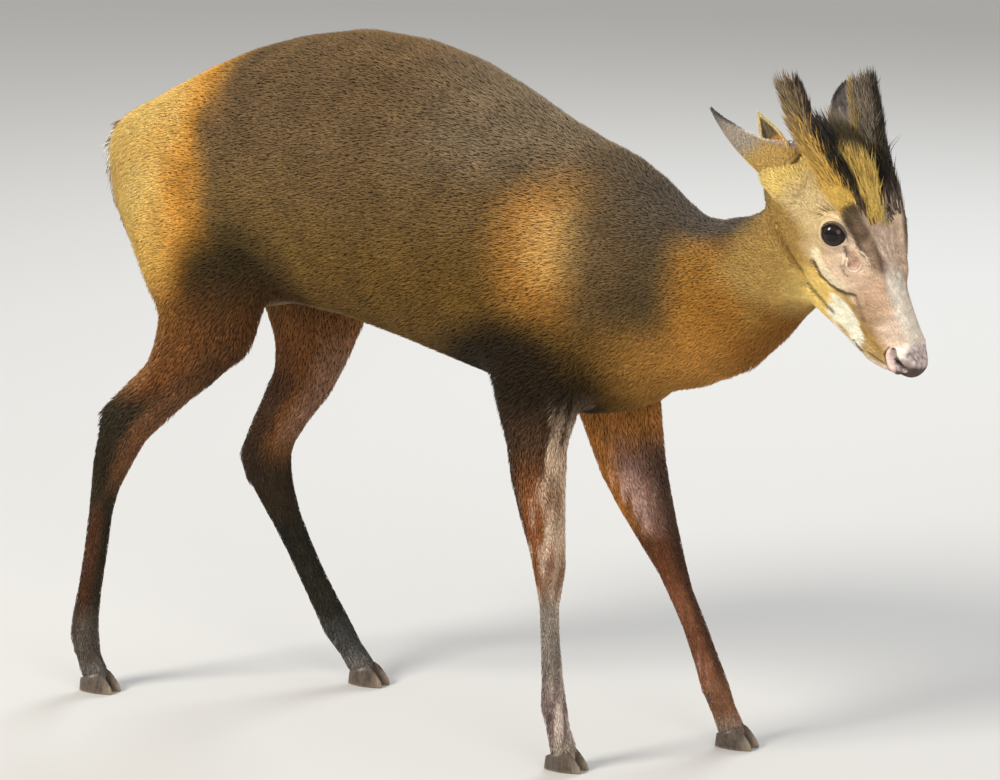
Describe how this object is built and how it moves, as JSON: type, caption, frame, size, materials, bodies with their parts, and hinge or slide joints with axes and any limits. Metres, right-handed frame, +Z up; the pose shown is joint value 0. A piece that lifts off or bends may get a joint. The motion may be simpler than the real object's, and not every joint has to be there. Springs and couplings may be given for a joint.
{
  "type": "muntjac",
  "caption": "Life-size still model of a standing male muntjac deer, head turned and lowered, its antlers shed and its long pedicles covered in hair.",
  "frame": {"origin": "centre of the model's box on the floor that its hooves stand on", "axes": "+X forward along the body, +Y to the animal's left, +Z up"},
  "size_m": [0.7712, 0.185, 0.5632],
  "materials": {
    "body_coat": "short brown coat, matt",
    "face_coat": "very short tan hair over skin, matt",
    "leg_coat": "short dark brown hair, matt",
    "ear_skin": "thin skin with fine hair",
    "pedicle_hair": "long bristly hair, golden and black",
    "tail_hair": "brown above, white below",
    "hoof_horn": "smooth horn",
    "eye_gloss": "wet dark brown eye"
  },
  "bodies": {
    "root": {"torso": "body_coat", "neck": "body_coat", "head": "face_coat", "eye_right": "eye_gloss", "eye_left": "eye_gloss", "ear_right": "ear_skin", "ear_left": "ear_skin", "pedicle_right": "pedicle_hair", "pedicle_left": "pedicle_hair", "tail": "tail_hair", "leg_fore_right": "leg_coat", "hoof_fore_right_right": "hoof_horn", "dewclaw_fore_right_right": "hoof_horn", "hoof_fore_right_left": "hoof_horn", "dewclaw_fore_right_left": "hoof_horn", "leg_fore_left": "leg_coat", "hoof_fore_left_right": "hoof_horn", "dewclaw_fore_left_right": "hoof_horn", "hoof_fore_left_left": "hoof_horn", "dewclaw_fore_left_left": "hoof_horn", "leg_hind_right": "leg_coat", "hoof_hind_right_right": "hoof_horn", "dewclaw_hind_right_right": "hoof_horn", "hoof_hind_right_left": "hoof_horn", "dewclaw_hind_right_left": "hoof_horn", "leg_hind_left": "leg_coat", "hoof_hind_left_right": "hoof_horn", "dewclaw_hind_left_right": "hoof_horn", "hoof_hind_left_left": "hoof_horn", "dewclaw_hind_left_left": "hoof_horn"}
  },
  "joints": []
}
